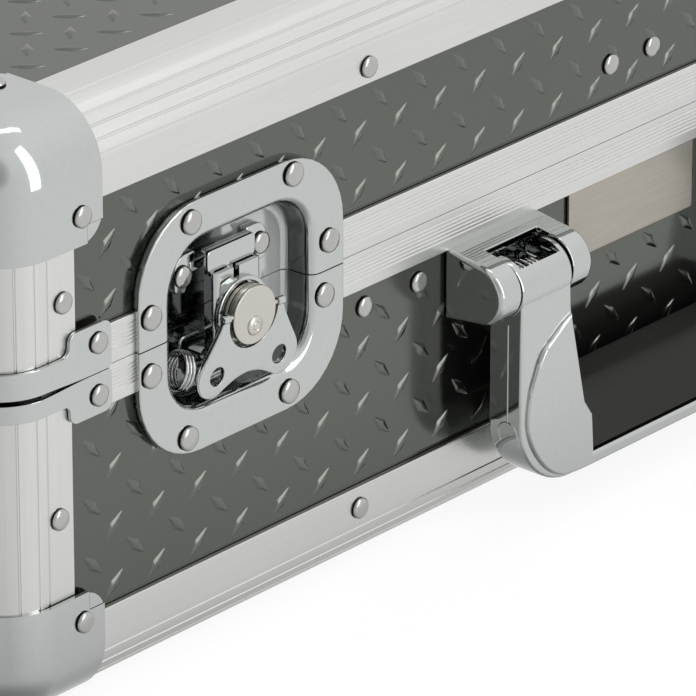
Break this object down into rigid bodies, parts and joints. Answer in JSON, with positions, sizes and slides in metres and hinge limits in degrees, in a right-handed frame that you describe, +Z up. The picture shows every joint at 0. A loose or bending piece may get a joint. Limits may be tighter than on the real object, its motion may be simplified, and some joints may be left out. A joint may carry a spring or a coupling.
{
  "type": "aluminium tool case",
  "caption": "Aluminium-edged tool case with a hinged lid, recessed twist latches that clamp it shut and a drop handle on the front.",
  "frame": {"origin": "middle of the case's outside box on the floor it stands on", "axes": "+X right along the front, +Y back, towards the hinge, +Z up; the latches and the handle face -Y"},
  "size_m": [0.5534, 0.4084, 0.1844],
  "materials": {
    "satin_aluminium": "satin",
    "coated_board": "glossy laminate with an embossed lozenge tread",
    "chrome": "bright",
    "satin_nickel": "satin",
    "spring_steel": "bright wire",
    "soft_grip": "smooth matte",
    "brushed_plate": "fine brushed"
  },
  "bodies": {
    "base": {"base_front_board": "coated_board", "base_back_board": "coated_board", "base_left_board": "coated_board", "base_right_board": "coated_board", "base_floor_board": "coated_board", "base_front_edge": "satin_aluminium", "base_back_edge": "satin_aluminium", "base_left_edge": "satin_aluminium", "base_right_edge": "satin_aluminium", "base_front_left_post": "satin_aluminium", "base_front_right_post": "satin_aluminium", "base_back_left_post": "satin_aluminium", "base_back_right_post": "satin_aluminium", "base_rim": "satin_aluminium", "base_front_left_ball": "chrome", "base_front_right_ball": "chrome", "base_back_left_ball": "chrome", "base_back_right_ball": "chrome", "left_latch_lower_dish": "chrome", "right_latch_lower_dish": "chrome", "left_latch_spring": "spring_steel", "right_latch_spring": "spring_steel", "handle_left_bracket": "chrome", "handle_right_bracket": "chrome", "name_plate": "brushed_plate", "hinge_base_leaf": "satin_aluminium", "hinge_pin": "satin_aluminium"},
    "lid": {"lid_front_board": "coated_board", "lid_back_board": "coated_board", "lid_left_board": "coated_board", "lid_right_board": "coated_board", "lid_top_board": "coated_board", "lid_front_edge": "satin_aluminium", "lid_back_edge": "satin_aluminium", "lid_left_edge": "satin_aluminium", "lid_right_edge": "satin_aluminium", "lid_front_left_post": "satin_aluminium", "lid_front_right_post": "satin_aluminium", "lid_back_left_post": "satin_aluminium", "lid_back_right_post": "satin_aluminium", "lid_rim": "satin_aluminium", "lid_front_left_ball": "chrome", "lid_front_right_ball": "chrome", "lid_back_left_ball": "chrome", "lid_back_right_ball": "chrome", "left_latch_upper_dish": "chrome", "right_latch_upper_dish": "chrome", "left_latch_keeper": "chrome", "right_latch_keeper": "chrome", "hinge_lid_leaf": "satin_aluminium"},
    "handle": {"handle_bow": "chrome", "handle_grip": "soft_grip"},
    "left_arm": {"left_latch_arm": "chrome"},
    "left_hook": {"left_latch_hook": "chrome"},
    "left_rotor": {"left_latch_rotor": "satin_nickel"},
    "left_wing": {"left_latch_wing": "chrome"},
    "right_arm": {"right_latch_arm": "chrome"},
    "right_hook": {"right_latch_hook": "chrome"},
    "right_rotor": {"right_latch_rotor": "satin_nickel"},
    "right_wing": {"right_latch_wing": "chrome"}
  },
  "joints": [
    {"name": "lid_hinge", "type": "hinge", "parent": "base", "child": "lid", "pos_m": [0, 0.20115, 0.1052], "axis": [-1, 0, 0], "range_deg": [0, 100]},
    {"name": "handle_swing", "type": "hinge", "parent": "base", "child": "handle", "pos_m": [0, -0.19365, 0.0797], "axis": [-1, 0, 0], "range_deg": [0, 90]},
    {"name": "left_arm_swing", "type": "hinge", "parent": "base", "child": "left_arm", "pos_m": [-0.17785, -0.17965, 0.0902], "axis": [1, 0, 0], "range_deg": [-3, 8], "deforming": ["left_latch_spring"]},
    {"name": "left_rotor_turn", "type": "hinge", "parent": "left_arm", "child": "left_rotor", "pos_m": [-0.17785, -0.18885, 0.1035], "axis": [0, 1, 0], "range_deg": [0, 180]},
    {"name": "left_hook_lift", "type": "slide", "parent": "left_arm", "child": "left_hook", "axis": [0, 0, 1], "range_m": [0, 0.0048]},
    {"name": "left_wing_fold", "type": "hinge", "parent": "left_rotor", "child": "left_wing", "pos_m": [-0.17778, -0.18785, 0.1047], "axis": [-0.9981, 0, 0.061], "range_deg": [0, 95]},
    {"name": "right_arm_swing", "type": "hinge", "parent": "base", "child": "right_arm", "pos_m": [0.17785, -0.17965, 0.0902], "axis": [1, 0, 0], "range_deg": [-3, 8], "deforming": ["right_latch_spring"]},
    {"name": "right_rotor_turn", "type": "hinge", "parent": "right_arm", "child": "right_rotor", "pos_m": [0.17785, -0.18885, 0.1035], "axis": [0, 1, 0], "range_deg": [0, 180]},
    {"name": "right_hook_lift", "type": "slide", "parent": "right_arm", "child": "right_hook", "axis": [0, 0, 1], "range_m": [0, 0.0048]},
    {"name": "right_wing_fold", "type": "hinge", "parent": "right_rotor", "child": "right_wing", "pos_m": [0.17792, -0.18785, 0.1047], "axis": [-0.9981, 0, 0.061], "range_deg": [0, 95]}
  ],
  "couplings": [
    {"joint": "left_hook_lift", "follows": "left_rotor_turn", "m_per_rad": 0.001525},
    {"joint": "right_hook_lift", "follows": "right_rotor_turn", "m_per_rad": 0.001525}
  ]
}
